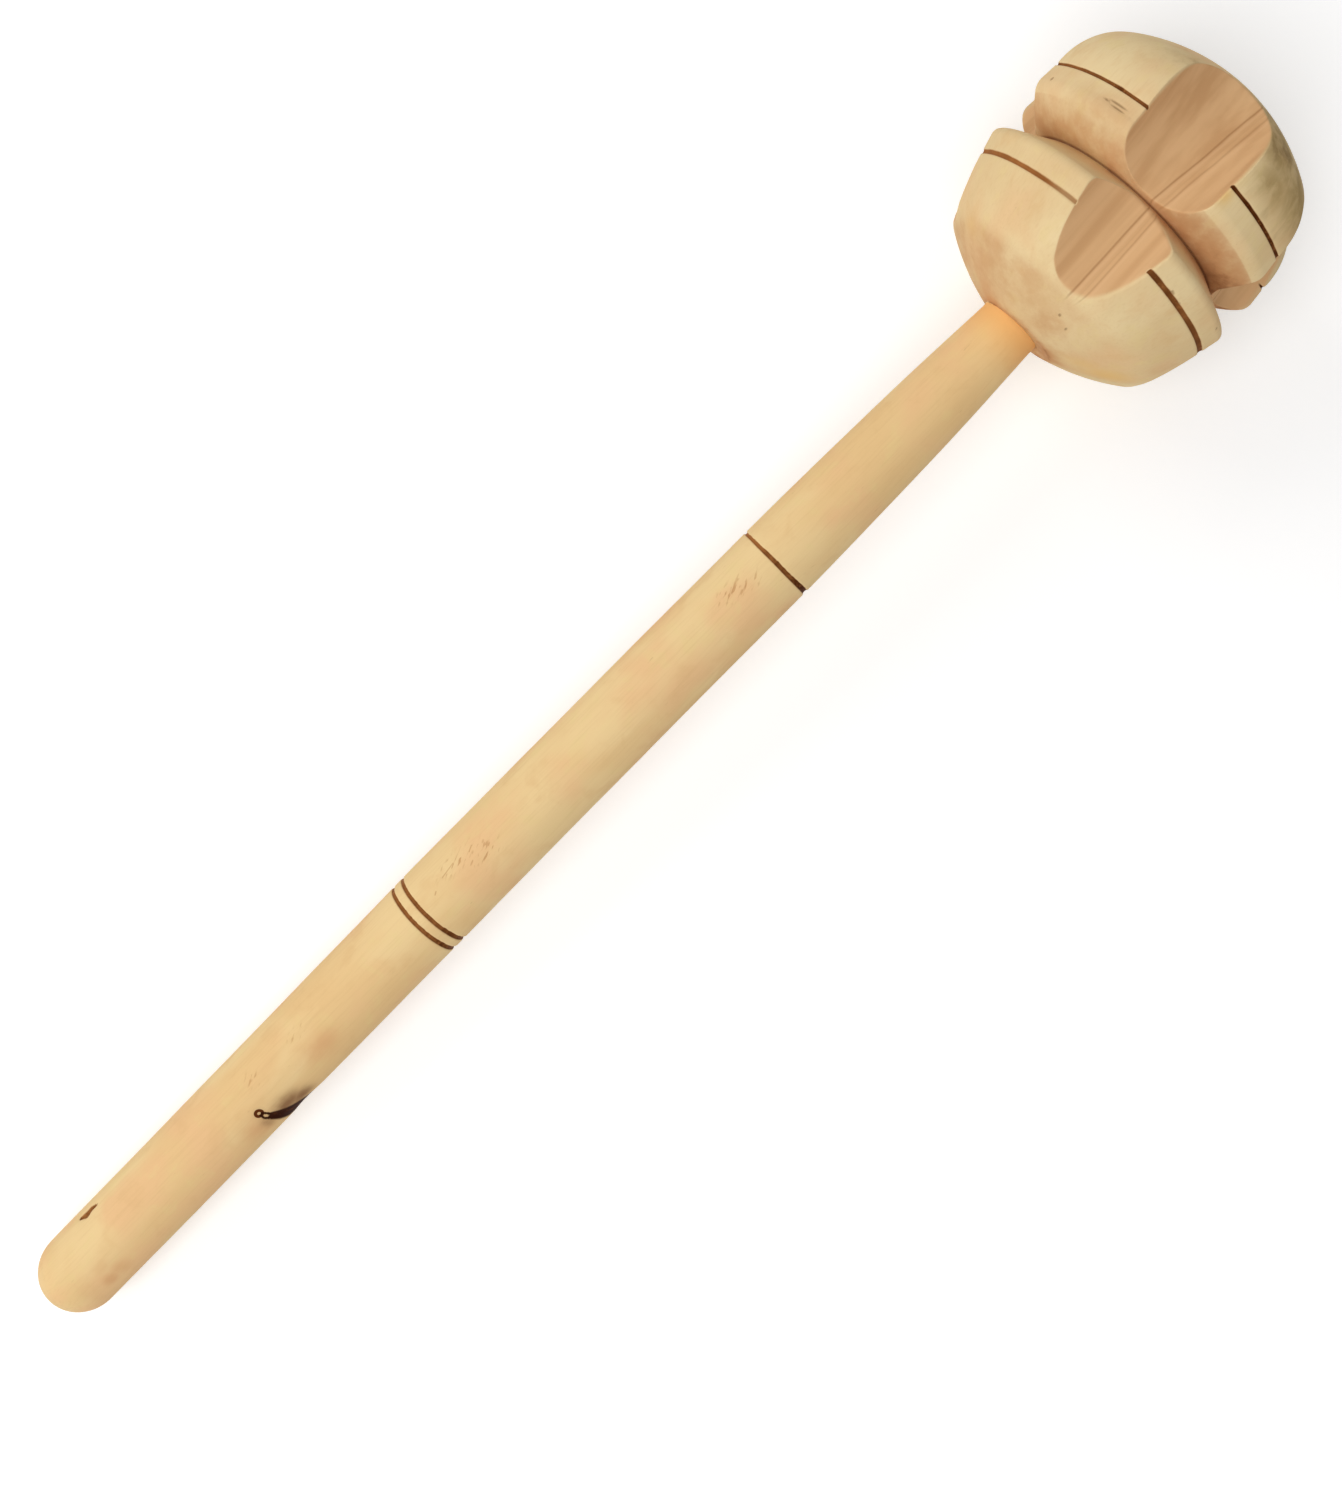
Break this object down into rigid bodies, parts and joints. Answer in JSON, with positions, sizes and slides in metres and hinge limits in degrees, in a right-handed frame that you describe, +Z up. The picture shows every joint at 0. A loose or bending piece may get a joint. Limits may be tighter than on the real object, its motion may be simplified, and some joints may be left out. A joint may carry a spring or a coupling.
{
  "type": "wooden chocolate whisk",
  "caption": "Wooden chocolate whisk: a turned stick handle with a rounded butt, set into a waisted, fluted head under a dome, spun between the palms to froth hot drinks.",
  "frame": {"origin": "on the surface it lies on, under the middle of its box", "axes": "+X from the handle's butt towards the head's dome, +Z up, as it rests on a table on its butt and on both edges of its back flute; the handle's axis rises 3.9 degrees towards the head"},
  "size_m": [0.352, 0.0618, 0.0609],
  "materials": {
    "handle_wood": "sanded, unvarnished, pale yellow wood with burned rings",
    "head_wood": "turned and gouge-carved, unvarnished, pale wood with burned lines"
  },
  "bodies": {
    "root": {"handle": "handle_wood", "head": "head_wood"}
  },
  "joints": []
}
